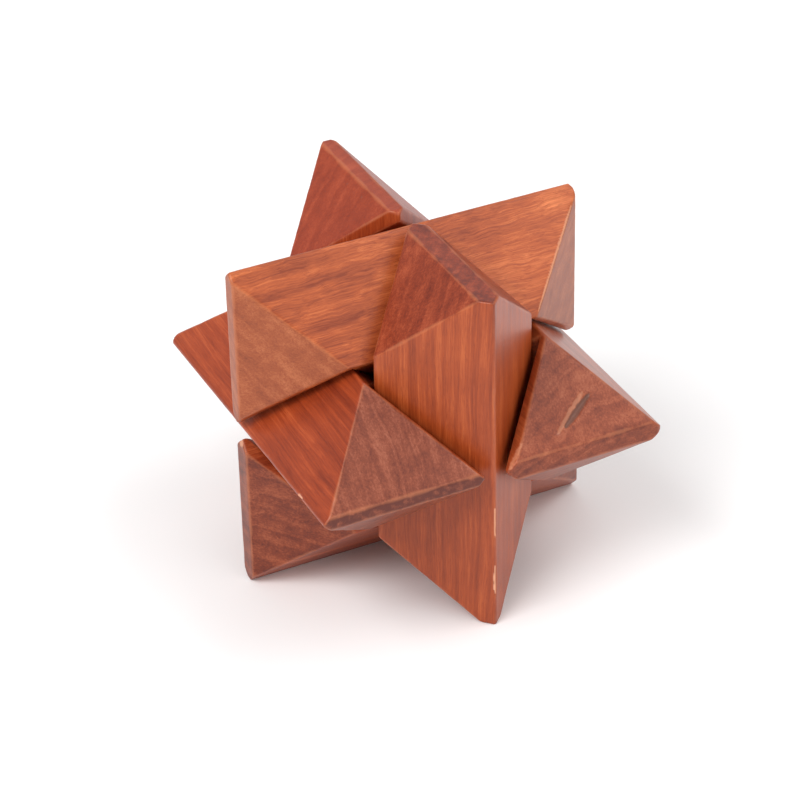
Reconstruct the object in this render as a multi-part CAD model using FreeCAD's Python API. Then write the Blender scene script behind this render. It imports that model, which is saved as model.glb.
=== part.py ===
import FreeCAD, Part
import math
import os

# Six-piece star burr. Every piece is the same square stick, standing on its edge:
# bevelled to a blunt ridge at both ends and cut by two right-angled V notches.

# stick
STICK_SIDE = 20.0
ARRIS_RADIUS = 0.6
HALF_DIAGONAL = STICK_SIDE / math.sqrt(2.0)

# assembly: distance from the centre of the puzzle to the centre line of a stick
STICK_OFFSET = 16.0

# ends
HALF_LENGTH = 30.5
RIDGE_FLAT = 3.6
BEVEL_DEG = 47.5

# notches: how much wider than the neighbour's stick, corner to wall
NOTCH_SLACK = 1.3
NOTCH_HALF_DIAGONAL = HALF_DIAGONAL + NOTCH_SLACK

# the outer wall of a post's upper notch is this much nearer to the top bar, corner to wall
POST_NOTCH_CLOSER = 0.8

# the loose fit lets the posts ride up on their feet and the bars settle
POST_LIFT = 0.5
FOOT_DEPTH = HALF_LENGTH - POST_LIFT
ARRIS_CUT = ARRIS_RADIUS * (math.sqrt(2.0) - 1.0)
BOTTOM_DROP = FOOT_DEPTH - (STICK_OFFSET + HALF_DIAGONAL - ARRIS_CUT)

X = FreeCAD.Vector(1, 0, 0)
Y = FreeCAD.Vector(0, 1, 0)
Z = FreeCAD.Vector(0, 0, 1)

# name: (direction the outer arris faces, direction the stick runs, play at rest,
#        how much closer the outer wall of its upper notch is)
PIECES = {
    "front_post": (-Y, Z, (0.3, 0.35, POST_LIFT), POST_NOTCH_CLOSER),
    "back_post": (Y, Z, (-0.1, 0.35, POST_LIFT), POST_NOTCH_CLOSER),
    "right_bar": (X, Y, (0.2, 0.0, -0.4), 0.0),
    "left_bar": (-X, Y, (0.3, 0.0, -0.1), 0.0),
    "top_bar": (Z, X, (-0.3, 0.35, -0.6), 0.0),
    "bottom_bar": (-Z, X, (0.3, 0.35, -BOTTOM_DROP), 0.0),
}


def square_bar(half_diagonal, length, radius):
    """Square bar along Z, corners on X and Y, centred on the origin."""
    side = half_diagonal * math.sqrt(2.0)
    corner = FreeCAD.Vector(-side / 2, -side / 2, -length / 2)
    bar = Part.makeBox(side, side, length, corner)
    if radius > 0:
        upright = [e for e in bar.Edges if abs(e.tangentAt(e.FirstParameter).z) > 0.9]
        bar = bar.makeFillet(radius, upright)
    bar.rotate(FreeCAD.Vector(0, 0, 0), Z, 45)
    return bar


def end_envelope():
    """Eight-sided slab across X that bevels both ends of a stick along Z."""
    slope = math.tan(math.radians(BEVEL_DEG))
    flat = RIDGE_FLAT / 2
    reach = HALF_DIAGONAL + 1
    shoulder = HALF_LENGTH - slope * (reach - flat)
    corners = [(flat, HALF_LENGTH), (reach, shoulder), (reach, -shoulder), (flat, -HALF_LENGTH)]
    corners += [(-y, z) for y, z in reversed(corners)]
    points = [FreeCAD.Vector(-reach, y, z) for y, z in corners]
    outline = Part.makePolygon(points + points[:1])
    return Part.Face(outline).extrude(FreeCAD.Vector(2 * reach, 0, 0))


def stick(closer):
    """One puzzle piece: runs along Z, its outer arris faces +X."""
    body = square_bar(HALF_DIAGONAL, 2 * HALF_LENGTH, ARRIS_RADIUS)
    body = body.common(end_envelope())
    body.translate(FreeCAD.Vector(STICK_OFFSET, 0, 0))
    for height, tighter in ((STICK_OFFSET, closer / 2), (-STICK_OFFSET, 0.0)):
        notch = square_bar(NOTCH_HALF_DIAGONAL - tighter, 4 * HALF_DIAGONAL, 0)
        notch.rotate(FreeCAD.Vector(0, 0, 0), X, 90)
        notch.translate(FreeCAD.Vector(0, 0, height - tighter))
        body = body.cut(notch)
    return body.Solids[0]


def placed(shape, outward, along, play):
    """Turn the piece into its place in the puzzle, standing on Z = 0."""
    turn = FreeCAD.Rotation(outward, along.cross(outward), along, "ZXY")
    shift = FreeCAD.Vector(*play) + FreeCAD.Vector(0, 0, FOOT_DEPTH)
    result = shape.copy()
    result.Placement = FreeCAD.Placement(shift, turn)
    return result


os.makedirs("parts", exist_ok=True)
for name, (outward, along, play, closer) in PIECES.items():
    placed(stick(closer), outward, along, play).exportStep("parts/" + name + ".step")
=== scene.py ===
import math

import bpy
import numpy as np
from mathutils import Matrix, Vector


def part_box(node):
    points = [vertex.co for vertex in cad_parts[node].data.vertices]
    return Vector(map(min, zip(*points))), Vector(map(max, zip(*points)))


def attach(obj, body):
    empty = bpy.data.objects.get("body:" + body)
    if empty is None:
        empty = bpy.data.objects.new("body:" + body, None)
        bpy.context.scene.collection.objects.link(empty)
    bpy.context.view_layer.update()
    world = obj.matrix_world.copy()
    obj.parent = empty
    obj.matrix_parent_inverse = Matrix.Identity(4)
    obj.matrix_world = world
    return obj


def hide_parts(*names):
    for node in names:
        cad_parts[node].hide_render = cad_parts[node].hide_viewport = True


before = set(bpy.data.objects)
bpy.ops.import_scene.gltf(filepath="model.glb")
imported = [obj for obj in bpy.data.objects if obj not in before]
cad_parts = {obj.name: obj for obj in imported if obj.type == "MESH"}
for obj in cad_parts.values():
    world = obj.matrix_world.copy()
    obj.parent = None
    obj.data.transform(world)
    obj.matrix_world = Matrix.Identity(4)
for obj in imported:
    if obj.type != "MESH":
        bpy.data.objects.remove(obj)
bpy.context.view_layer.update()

MM = 0.001

# The stick, as in the CAD: a square bar on its edge with bevelled ends and two V notches.
STICK_SIDE = 20.0 * MM
HALF_DIAGONAL = STICK_SIDE / math.sqrt(2)
ROOT_HALF = math.sqrt(0.5)
HALF_LENGTH = 30.5 * MM
STICK_OFFSET = 16.0 * MM
RIDGE_FLAT = 3.6 * MM
BEVEL_SLOPE = math.tan(math.radians(47.5))
NOTCH_REACH = HALF_DIAGONAL + 1.3 * MM
POST_NOTCH_CLOSER = 0.8 * MM

# The worn surface: the rounding of each kind of edge, and how far the faces wave in and out.
# ARRIS_INSET keeps the worn arrises inside the CAD's own rounded ones.
MESH_STEP = 0.28 * MM
NEWTON_STEPS = 6
SLOPE_STEP = 0.02 * MM
ARRIS_ROUND = 0.56 * MM
ARRIS_INSET = 0.25 * MM
END_ROUND = 0.36 * MM
FLAT_ROUND = 0.28 * MM
NOTCH_ROUND = 0.3 * MM
UNEVEN = 0.008 * MM
MARK_BLUNT = 0.35

# Wood: what light and dark grain multiply the base colour by, the colours of worn wood (the pale
# edge colour partly a painted highlight), how far the grain and pores are drawn out along the
# stick, and the satin finish
LIGHT_GRAIN = (1.65, 2.3, 2.9, 1)
DARK_GRAIN = (0.5, 0.38, 0.4, 1)
WORN_EDGE_AND_HIGHLIGHT_COLOUR = (0.60, 0.20, 0.085, 1)
BARE_COLOUR = (0.80, 0.38, 0.22, 1)
GRIMY_COLOUR = (0.20, 0.115, 0.085, 1)
GRAIN_STRETCH = 0.036
PORE_STRETCH = 0.08
BUMP_DEPTH = 0.03 * MM
SPECULAR_LEVEL = 0.3
COAT_WEIGHT = 0.22
COAT_ROUGHNESS = 0.22

# Camera, about the centre of the puzzle: angles in degrees, distance in m, lens and sensor in mm
CAMERA_AZIMUTH = 25.267
CAMERA_ELEVATION = 33.029
CAMERA_ROLL = -1.417
CAMERA_DISTANCE = 0.52287
CAMERA_LENS = 143.39
SENSOR_WIDTH = 36
AIM_RIGHT = -1.584 * MM
AIM_UP = -2.864 * MM
CENTRE = Vector((0, 0, 30 * MM))

# Studio. Lights: bearing from the camera to the right and height above the floor, degrees; power, W
SOFTBOX_SIZE = 0.6
SOFTBOX_RAISE = 0.1
FLOOR_REACH = 3.0
FLOOR_COLOUR = (0.96, 0.955, 0.955, 1)
WORLD_STRENGTH = 0.5
LIGHTS = {
    "key": (-45, 45, 7.8),
    "fill": (45, 20, 1.8),
    "right": (90, 50, 3.1),
    "back": (180, 45, 1.2),
}

# outward, along: directions the outer arris faces and the stick runs
# trim: how far the bevels are planed in, mm; tips: rounding of the tips at the low and high end, mm
# snug: whether the upper notch is closer, as on the posts
# heart: offset from the heart of the tree, mm; rings: their spacing, mm; tilt of the grain, degrees
# curl: how much the grain wanders; figure, end_figure: how strongly it shows along and on the ends
# flat_darkening: darkening of the ridge flats; low_end_shade: painted shade, darkening of the long
# faces towards the low end, per mm
STICKS = {
    "front_post": dict(
        outward=(0, -1, 0), along=(0, 0, 1), seed=11, trim=0.0, tips=(0.6, 0.6), snug=True,
        heart=(38, 41), rings=1.5, tilt=(0.8, -0.6), curl=0.3, figure=0.8, end_figure=1.1,
        flat_darkening=0.4, low_end_shade=0.003,
        long_colour=(0.365, 0.061, 0.0125), end_colour=(0.260, 0.036, 0.010)),
    "back_post": dict(
        outward=(0, 1, 0), along=(0, 0, 1), seed=23, trim=0.42, tips=(1.3, 1.3), snug=True,
        heart=(40, 35), rings=1.7, tilt=(1.6, 1.0), curl=0.4, figure=0.8, end_figure=0.65,
        flat_darkening=0.0, low_end_shade=0.0,
        long_colour=(0.338, 0.051, 0.011), end_colour=(0.310, 0.040, 0.011)),
    "right_bar": dict(
        outward=(1, 0, 0), along=(0, 1, 0), seed=37, trim=0.1, tips=(1.3, 0.9), snug=False,
        heart=(-26, -54), rings=1.3, tilt=(-1.2, 1.4), curl=0.5, figure=1.0, end_figure=1.1,
        flat_darkening=0.2, low_end_shade=0.0,
        long_colour=(0.330, 0.058, 0.014), end_colour=(0.262, 0.052, 0.018)),
    "left_bar": dict(
        outward=(-1, 0, 0), along=(0, 1, 0), seed=41, trim=0.5, tips=(0.6, 1.3), snug=False,
        heart=(-62, 8), rings=1.1, tilt=(0.8, 1.6), curl=0.4, figure=0.8, end_figure=1.1,
        flat_darkening=1.0, low_end_shade=0.004,
        long_colour=(0.360, 0.053, 0.012), end_colour=(0.232, 0.049, 0.020)),
    "top_bar": dict(
        outward=(0, 0, 1), along=(1, 0, 0), seed=59, trim=0.3, tips=(0.5, 1.5), snug=False,
        heart=(30, 34), rings=1.9, tilt=(-2.4, 2.0), curl=1.8, figure=1.15, end_figure=0.7,
        flat_darkening=0.0, low_end_shade=0.003,
        long_colour=(0.453, 0.095, 0.0235), end_colour=(0.350, 0.080, 0.024)),
    "bottom_bar": dict(
        outward=(0, 0, -1), along=(1, 0, 0), seed=67, trim=0.0, tips=(1.0, 0.8), snug=False,
        heart=(-27, 12), rings=2.2, tilt=(1.4, -2.0), curl=1.2, figure=1.2, end_figure=1.5,
        flat_darkening=0.0, low_end_shade=0.0,
        long_colour=(0.300, 0.048, 0.012), end_colour=(0.205, 0.034, 0.010)),
}

# Dents, chips and rubs on each stick, in its own axes: start and end, width and depth in mm, then
# how much bare wood and how much dirt shows
MARKS = {
    # front_post: two bare streaks along the outer arris, partly worn wood and partly a painted
    # highlight line
    "front_post": [((14.0, 0.1, -7.4), (14.0, 0.1, -13.2), 0.3, 0.16, 1.0, 0.0),
                   ((14.0, 0.1, -18.8), (14.0, 0.1, -24.6), 0.33, 0.18, 1.0, 0.0)],
    "back_post": [((0.5, 2.5, 29.3), (0.1, 2.5, 29.3), 0.4, 0.12, 0.0, 0.7),
                  ((-4.6, 2.4, 29.4), (-5.0, 2.4, 29.4), 0.4, 0.12, 0.0, 0.7)],
    "right_bar": [((-4.0, -3.4, -28.6), (2.4, -7.0, -24.7), 0.5, 0.15, 0.3, 0.0),
                  ((-2.4, -3.8, -28.1), (3.4, -6.6, -25.1), 0.6, 0.45, 0.0, 0.9),
                  ((-13.6, -0.6, -30.2), (-10.6, -3.6, -28.6), 0.5, 0.05, 0.35, 0.0)],
    "left_bar": [((14.2, 0, -20.8), (14.2, 0, -22.2), 0.7, 0.3, 0.9, 0.0)],
    "top_bar": [((11.4, 2.75, 29.0), (0.6, 13.5, 17.3), 0.34, 0.06, 0.6, 0.0)],
    "bottom_bar": [((-13.8, 0, -30.4), (-12.8, 0.3, -30.4), 0.7, 0.12, 0.7, 0.0)],
}


def stick_matrix(name):
    """The stick's own axes: X outward, Y across, Z along, from the middle of its centre line."""
    low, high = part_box(name)
    outward, along = (Vector(STICKS[name][key]) for key in ("outward", "along"))
    turn = Matrix((outward, along.cross(outward), along)).transposed()
    return Matrix.Translation((low + high) / 2) @ turn.to_4x4()


def waves(points, seed, size, count=14):
    """Smooth noise about 0, mostly between -1 and 1, that varies over about `size`."""
    rng = np.random.default_rng(seed)
    total = np.zeros(len(points))
    for _ in range(count):
        direction = rng.normal(size=3)
        direction *= rng.uniform(0.6, 1.5) / (size * np.linalg.norm(direction))
        total += np.sin(2 * np.pi * (points @ direction) + rng.uniform(0, 2 * np.pi))
    return total / math.sqrt(count / 2) / 2.2


def soft_max(a, b, radius):
    """The larger of two distances, with the crease between them rounded off."""
    h = np.maximum(radius - np.abs(a - b), 0) / radius
    return np.maximum(a, b) + h * h * radius / 4


def side_planes(points):
    """Distances outside the four long faces, the two that meet at the outer arris first."""
    u, v, _ = points.T
    signs = ((1, 1), (1, -1), (-1, 1), (-1, -1))
    return [(a * u + b * v) * ROOT_HALF - STICK_SIDE / 2 for a, b in signs]


def bevel_planes(points, end, trim):
    """Distances outside the two bevels of one end."""
    _, v, w = points.T
    reach = HALF_LENGTH + BEVEL_SLOPE * RIDGE_FLAT / 2
    length = math.hypot(1, BEVEL_SLOPE)
    return [(end * w + BEVEL_SLOPE * side * v - reach) / length + trim for side in (1, -1)]


def notch_plane(points, end, snug):
    """Distance inside the V notch nearer one end, positive where the wood is cut away."""
    u, _, w = points.T
    tighter = POST_NOTCH_CLOSER / 2 if snug and end > 0 else 0.0
    middle = end * STICK_OFFSET - tighter
    return (NOTCH_REACH - tighter - (u + STICK_OFFSET) - np.abs(w - middle)) * ROOT_HALF


def stick_distance(points, wear, skin, trim, tips, snug):
    """Distance outside the worn stick, negative inside it; `skin` is how deep it is worn."""
    u, v, w = points.T
    sides = side_planes(points)
    body = soft_max(sides[0], sides[1], ARRIS_ROUND * wear)
    inner = soft_max(sides[2], sides[3], ARRIS_ROUND * wear)
    body = soft_max(body, inner, ARRIS_ROUND * wear)
    for end in (1, -1):
        bevels = bevel_planes(points, end, trim)
        ridge = soft_max(np.maximum(*bevels), end * w - HALF_LENGTH, FLAT_ROUND * wear)
        body = soft_max(body, ridge, END_ROUND * wear)
    for end in (1, -1):
        body = soft_max(body, notch_plane(points, end, snug), NOTCH_ROUND * wear)
    for end, tip in zip((-1, 1), tips):
        tip = tip * MM
        beyond_u = np.maximum(np.abs(u) - (HALF_DIAGONAL - tip), 0)
        beyond_w = np.maximum(end * w - (HALF_LENGTH - tip), 0)
        body = np.maximum(body, np.where(end * w > 0, np.hypot(beyond_u, beyond_w) - tip, body))
    widest = np.maximum(np.abs(u), np.abs(v)) - (HALF_DIAGONAL - ARRIS_INSET)
    return np.maximum(body + skin, widest)


def edge_distance(points, trim, snug):
    """For each surface point: mm to the nearest edge, 1 on end grain, 1 on a ridge flat."""
    w = points[:, 2]
    planes = side_planes(points)
    ends = []
    for end in (1, -1):
        ends += bevel_planes(points, end, trim) + [end * w - HALF_LENGTH]
    notches = [notch_plane(points, end, snug) for end in (1, -1)]
    stack = np.stack(planes + ends + notches)
    second = np.sort(stack, axis=0)[-2]
    nearest = np.argmax(stack, axis=0)
    is_end = (nearest >= len(planes)) & (nearest < len(planes) + len(ends))
    planes_per_end = len(ends) // 2
    is_flat = is_end & ((nearest - len(planes)) % planes_per_end == planes_per_end - 1)
    return np.maximum(-second, 0) / MM, is_end.astype(float), is_flat.astype(float)


def marks_of(name, points):
    """Depth of the dents, and how bare and how dirty the surface is there."""
    depth, bare, dirt = (np.zeros(len(points)) for _ in range(3))
    for start, end, width, deep, is_bare, is_dirty in MARKS.get(name, ()):
        start, run = np.array(start) * MM, (np.array(end) - np.array(start)) * MM
        along = np.clip((points - start) @ run / (run @ run), 0, 1)
        away = np.linalg.norm(points - start - along[:, None] * run, axis=1)
        taper = np.sqrt(1 - (2 * along - 1) ** 2)
        shape = width * MM * (MARK_BLUNT + (1 - MARK_BLUNT) * taper)
        shape = shape * (1 + 0.2 * waves(points, 5, 1.4 * MM))
        inside = np.clip(1 - (away / shape) ** 2, 0, 1)
        depth = np.maximum(depth, deep * MM * inside)
        bare = np.where(inside > 0, np.maximum(bare, is_bare * np.minimum(inside * 3, 1)), bare)
        dirt = np.maximum(dirt, is_dirty * np.minimum(inside * 2, 1))
    return depth, bare * (1 - dirt), dirt


def slope_of(distance, points):
    """The gradient of a distance function."""
    parts = []
    for axis in range(3):
        shift = np.zeros(3)
        shift[axis] = SLOPE_STEP
        parts.append((distance(points + shift) - distance(points - shift)) / (2 * SLOPE_STEP))
    return np.stack(parts, axis=1)


def make_stick(name):
    """A dense mesh of one CAD stick, drawn onto the worn surface."""
    stick = STICKS[name]
    seed, trim, snug = stick["seed"], stick["trim"] * MM, stick["snug"]
    place = stick_matrix(name)
    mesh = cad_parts[name].data.copy()
    mesh.name = name + "_wood"
    mesh.materials.clear()
    mesh.transform(place.inverted())
    piece = bpy.data.objects.new(name + "_wood", mesh)
    bpy.context.scene.collection.objects.link(piece)
    remesh = piece.modifiers.new("dense", "REMESH")
    remesh.mode = "VOXEL"
    remesh.voxel_size = MESH_STEP
    evaluated = piece.evaluated_get(bpy.context.evaluated_depsgraph_get())
    dense = bpy.data.meshes.new_from_object(evaluated)
    piece.modifiers.clear()
    piece.data = dense
    points = np.empty(len(dense.vertices) * 3)
    dense.vertices.foreach_get("co", points)
    points = points.reshape(-1, 3)
    # How much more or less than usual each edge is rounded, and how deep the surface is worn
    wear = 1 + 0.3 * waves(points, seed, 9 * MM) + 0.2 * waves(points, seed + 1, 2.5 * MM)
    depth, bare, dirt = marks_of(name, points)
    skin = UNEVEN * (1.5 + waves(points, seed + 2, 8 * MM)) + depth

    def distance(p):
        return stick_distance(p, wear, skin, trim, stick["tips"], snug)

    for _ in range(NEWTON_STEPS):
        slope = slope_of(distance, points)
        length = np.maximum((slope ** 2).sum(axis=1), 0.25)
        points = points - slope * (distance(points) / length)[:, None]
    dense.vertices.foreach_set("co", points.ravel())
    edge, end_grain, flat = edge_distance(points, trim, snug)
    flat_darkening = flat * stick["flat_darkening"] * np.clip(0.7 + 0.8 * waves(points, 9, 1.2 * MM), 0, 1)
    surface = {"edge": edge, "end_grain": end_grain, "bare": bare, "dirt": dirt, "flat_darkening": flat_darkening}
    for label, values in surface.items():
        attribute = dense.attributes.new(label, "FLOAT", "POINT")
        attribute.data.foreach_set("value", values.astype(np.float32))
    dense.shade_smooth()
    dense.update()
    piece.matrix_world = place
    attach(piece, name)
    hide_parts(name)
    return piece


class Graph:
    """Short ways to add shader nodes."""

    def __init__(self, material):
        self.tree = material.node_tree

    def add(self, kind, inputs=None, **settings):
        node = self.tree.nodes.new(kind)
        for key, value in settings.items():
            setattr(node, key, value)
        for key, value in (inputs or {}).items():
            self.set(node.inputs[key], value)
        return node

    def set(self, socket, value):
        if isinstance(value, bpy.types.NodeSocket):
            self.tree.links.new(value, socket)
        else:
            socket.default_value = value

    def math(self, operation, a, b=0.0, c=0.0, clamp=False):
        node = self.add("ShaderNodeMath", {0: a, 1: b, 2: c}, operation=operation, use_clamp=clamp)
        return node.outputs[0]

    def vector(self, operation, a, b=(0, 0, 0), c=(0, 0, 0), scale=1.0):
        node = self.add("ShaderNodeVectorMath", {0: a, 1: b, 2: c, 3: scale}, operation=operation)
        return node.outputs[0]

    def noise(self, vector, scale, detail=2.0, roughness=0.5, colour=False):
        node = self.add("ShaderNodeTexNoise", {"Vector": vector, "Scale": scale, "Detail": detail,
                                               "Roughness": roughness})
        return node.outputs["Color" if colour else "Fac"]

    def ramp(self, value, low, high, out_low=0.0, out_high=1.0):
        node = self.add("ShaderNodeMapRange", {"Value": value, "From Min": low, "From Max": high,
                                               "To Min": out_low, "To Max": out_high},
                        interpolation_type="SMOOTHSTEP")
        return node.outputs[0]

    def mix(self, factor, a, b, blend="MIX"):
        node = self.add("ShaderNodeMix", {"Factor": factor, 6: a, 7: b},
                        data_type="RGBA", blend_type=blend)
        return node.outputs[2]


def wood_material(name):
    """Stained wood in the stick's own axes, so that it stays with the stick as it moves."""
    stick = STICKS[name]
    figure = stick["figure"]
    material = bpy.data.materials.new(name + "_wood")
    material.use_nodes = True
    graph = Graph(material)
    shader = material.node_tree.nodes["Principled BSDF"]
    rng = np.random.default_rng(stick["seed"])

    def attribute(label):
        return graph.add("ShaderNodeAttribute", attribute_name=label).outputs["Fac"]

    place = graph.add("ShaderNodeTexCoord").outputs["Object"]
    place = graph.vector("SCALE", place, scale=1 / MM)
    offset = float(rng.uniform(100, 900))
    place = graph.vector("ADD", place, (0, 0, offset))

    # The fibres wander a little, then everything is drawn out along the stick.
    wander = graph.noise(graph.vector("MULTIPLY", place, (1, 1, 0.3)), 0.13, 1.0, colour=True)
    wander = graph.vector("SUBTRACT", wander, (0.5, 0.5, 0.5))
    bent = graph.vector("MULTIPLY_ADD", wander, (1.8, 1.8, 0), place)
    wave = graph.noise(graph.vector("MULTIPLY", place, (1, 1, 0.6)), 0.4, 1.0, colour=True)
    wave = graph.vector("SUBTRACT", wave, (0.5, 0.5, 0.5))
    curl = 0.45 * stick["curl"]
    bent = graph.vector("MULTIPLY_ADD", wave, (curl, curl, 0), bent)
    tilt = [math.radians(angle) for angle in stick["tilt"]]
    grain = graph.add("ShaderNodeMapping", {"Vector": bent, "Location": (*stick["heart"], 0),
                                            "Rotation": (*tilt, 0)}).outputs[0]
    drawn = graph.vector("MULTIPLY", grain, (1, 1, GRAIN_STRETCH))
    radius = graph.add("ShaderNodeVectorMath", {0: graph.vector("MULTIPLY", grain, (1, 1, 0))},
                       operation="LENGTH").outputs["Value"]
    radius = graph.math("MULTIPLY_ADD", graph.noise(drawn, 0.35, 2.0), 1.6, radius)
    rings = graph.add("ShaderNodeTexNoise", {"W": radius, "Scale": 1 / stick["rings"],
                                             "Detail": 3.0, "Roughness": 0.6},
                      noise_dimensions="1D").outputs["Fac"]
    bands = graph.noise(drawn, 0.5, 2.0, 0.5)
    fibres = graph.noise(drawn, 3.4, 4.0, 0.7)
    fine = graph.noise(graph.vector("MULTIPLY", grain, (1, 1, PORE_STRETCH)), 7.0, 2.0, 0.6)
    pores = graph.ramp(fine, 0.56, 0.68)
    blotch = graph.noise(place, 0.1, 3.0, 0.55)

    # Light and dark of the grain, about 0
    tone = graph.math("MULTIPLY_ADD", rings, 0.8, -0.4)
    tone = graph.math("MULTIPLY_ADD", graph.math("SUBTRACT", bands, 0.5), 0.9, tone)
    tone = graph.math("MULTIPLY_ADD", graph.math("SUBTRACT", fibres, 0.5), 1.5, tone)
    tone = graph.math("MULTIPLY_ADD", graph.math("SUBTRACT", blotch, 0.5), 0.8, tone)

    # Painted shade: the long faces are darkened towards the stick's low end. The ridge flats are
    # darker.
    along = graph.add("ShaderNodeSeparateXYZ", {0: place}).outputs["Z"]
    along = graph.math("SUBTRACT", along, offset + HALF_LENGTH / MM)
    end_grain = attribute("end_grain")
    along = graph.math("MULTIPLY", along, graph.math("SUBTRACT", 1.0, end_grain))
    tone = graph.math("MULTIPLY_ADD", along, stick["low_end_shade"], tone)
    tone = graph.math("MULTIPLY_ADD", attribute("flat_darkening"), -0.65, tone)

    base = graph.mix(end_grain, (*stick["long_colour"], 1), (*stick["end_colour"], 1))
    light = graph.mix(1.0, base, LIGHT_GRAIN, "MULTIPLY")
    dark = graph.mix(1.0, base, DARK_GRAIN, "MULTIPLY")
    strength = graph.math("MULTIPLY_ADD", end_grain, stick["end_figure"] - figure, figure)
    tone = graph.math("MULTIPLY", tone, strength)
    base = graph.mix(graph.math("MULTIPLY", tone, 1.6, clamp=True), base, light)
    base = graph.mix(graph.math("MULTIPLY", tone, -1.8, clamp=True), base, dark)
    base = graph.mix(graph.math("MULTIPLY", pores, 0.45 * figure), base, dark)

    # Edges painted pale in places, partly rubbed wear and partly a painted highlight along them;
    # marks with bare or dirty wood
    pale_edge_noise = graph.noise(place, 0.22, 3.0, 0.5)
    reach = graph.ramp(pale_edge_noise, 0.35, 0.7, 0.18, 0.45)
    edge_wear_and_highlight = graph.math("SUBTRACT", 1.0, graph.math("DIVIDE", attribute("edge"), reach), clamp=True)
    base = graph.mix(graph.math("MULTIPLY", edge_wear_and_highlight, 0.5), base, WORN_EDGE_AND_HIGHLIGHT_COLOUR)
    base = graph.mix(attribute("bare"), base, BARE_COLOUR)
    grimy = graph.mix(0.55, dark, GRIMY_COLOUR)
    base = graph.mix(attribute("dirt"), base, grimy)
    graph.set(shader.inputs["Base Color"], base)

    # Satin finish: the sealed wood is smoother, the fibres, ends and bare marks rougher.
    rough = graph.math("MULTIPLY_ADD", fibres, 0.3, 0.25)
    rough = graph.math("MULTIPLY_ADD", end_grain, 0.06, rough)
    rough = graph.math("MULTIPLY_ADD", attribute("bare"), 0.2, rough)
    graph.set(shader.inputs["Roughness"], rough)
    height = graph.math("MULTIPLY_ADD", pores, -0.5, fibres)
    height = graph.math("MULTIPLY_ADD", rings, 0.3, height)
    bump = graph.add("ShaderNodeBump", {"Height": height, "Strength": 0.5, "Distance": BUMP_DEPTH})
    graph.set(shader.inputs["Normal"], bump.outputs[0])
    shader.inputs["Specular IOR Level"].default_value = SPECULAR_LEVEL
    shader.inputs["Coat Weight"].default_value = COAT_WEIGHT
    shader.inputs["Coat Roughness"].default_value = COAT_ROUGHNESS
    return material


def make_camera():
    """The photograph's view, from the front and left of the puzzle and above it."""
    angles = (CAMERA_AZIMUTH, CAMERA_ELEVATION, CAMERA_ROLL)
    azimuth, elevation, roll = (math.radians(angle) for angle in angles)
    level_back = Vector((-math.sin(azimuth), -math.cos(azimuth), 0))
    back = level_back * math.cos(elevation) + Vector((0, 0, math.sin(elevation)))
    level = Vector((math.cos(azimuth), -math.sin(azimuth), 0))
    rise = back.cross(level)
    right = level * math.cos(roll) + rise * math.sin(roll)
    up = back.cross(right)
    place = Matrix((right, up, back)).transposed().to_4x4()
    place.translation = CENTRE + back * CAMERA_DISTANCE + right * AIM_RIGHT + up * AIM_UP
    data = bpy.data.cameras.new("camera")
    data.lens = CAMERA_LENS
    data.sensor_width = SENSOR_WIDTH
    data.clip_start = 0.01
    camera = bpy.data.objects.new("camera", data)
    bpy.context.scene.collection.objects.link(camera)
    camera.matrix_world = place
    bpy.context.scene.camera = camera


def softbox(name, bearing, height, power):
    """A soft square light a metre from the puzzle and aimed at it, out of the camera's sight."""
    bearing, height = math.radians(CAMERA_AZIMUTH - bearing), math.radians(height)
    level = Vector((-math.sin(bearing), -math.cos(bearing), 0)) * math.cos(height)
    away = level + Vector((0, 0, math.sin(height)))
    data = bpy.data.lights.new(name, "AREA")
    data.shape = "SQUARE"
    data.size = SOFTBOX_SIZE
    data.energy = power
    light = bpy.data.objects.new(name, data)
    bpy.context.scene.collection.objects.link(light)
    light.location = CENTRE + away + Vector((0, 0, SOFTBOX_RAISE))
    light.rotation_euler = (CENTRE - light.location).to_track_quat("-Z", "Y").to_euler()
    light.visible_camera = False


def make_stage():
    """A plain pale floor under an even white sky."""
    mesh = bpy.data.meshes.new("floor")
    r = FLOOR_REACH
    mesh.from_pydata([(-r, -r, 0), (r, -r, 0), (r, r, 0), (-r, r, 0)], [], [(0, 1, 2, 3)])
    floor = bpy.data.objects.new("floor", mesh)
    bpy.context.scene.collection.objects.link(floor)
    material = bpy.data.materials.new("floor")
    material.use_nodes = True
    shader = material.node_tree.nodes["Principled BSDF"]
    shader.inputs["Base Color"].default_value = FLOOR_COLOUR
    shader.inputs["Roughness"].default_value = 0.9
    shader.inputs["Specular IOR Level"].default_value = 0.0
    mesh.materials.append(material)
    world = bpy.context.scene.world or bpy.data.worlds.new("world")
    bpy.context.scene.world = world
    world.use_nodes = True
    sky = world.node_tree.nodes["Background"]
    sky.inputs["Color"].default_value = (1, 1, 1, 1)
    sky.inputs["Strength"].default_value = WORLD_STRENGTH
    bpy.context.scene.view_settings.view_transform = "Standard"


for stick_name in STICKS:
    make_stick(stick_name).data.materials.append(wood_material(stick_name))

make_camera()
make_stage()
for light_name, (light_bearing, light_height, light_power) in LIGHTS.items():
    softbox(light_name, light_bearing, light_height, light_power)
